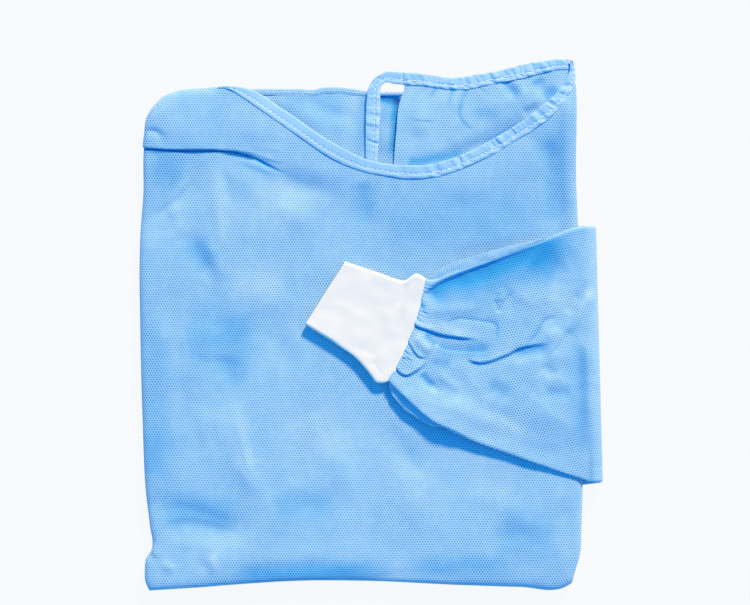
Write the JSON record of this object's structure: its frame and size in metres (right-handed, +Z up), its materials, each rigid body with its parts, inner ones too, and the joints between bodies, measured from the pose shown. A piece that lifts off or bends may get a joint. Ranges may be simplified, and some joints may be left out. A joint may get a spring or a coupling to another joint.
{
  "type": "folded disposable lab gown",
  "caption": "Disposable nonwoven lab gown folded flat: front panel uppermost, bound neck opening with a tie, and the right sleeve with its knit cuff laid across the front.",
  "frame": {"origin": "centre of the folded gown's footprint, on the surface it lies on", "axes": "+X towards the fold of the sleeve, +Y towards the neck, +Z up from the surface"},
  "size_m": [0.4042, 0.4636, 0.026],
  "materials": {
    "blue_nonwoven": "embossed nonwoven, matt",
    "neck_binding": "smooth nonwoven tape, matt",
    "white_knit": "fine rib knit, matt"
  },
  "bodies": {
    "root": {"folded_layers": "blue_nonwoven", "front_panel": "blue_nonwoven", "back_panel_left": "blue_nonwoven", "back_panel_right": "blue_nonwoven", "neck_binding_front": "neck_binding", "neck_binding_back_right": "neck_binding", "neck_binding_back_left": "neck_binding", "neck_tie": "neck_binding", "right_sleeve": "blue_nonwoven", "sleeve_seam_flange": "blue_nonwoven", "knit_cuff": "white_knit"}
  },
  "joints": []
}
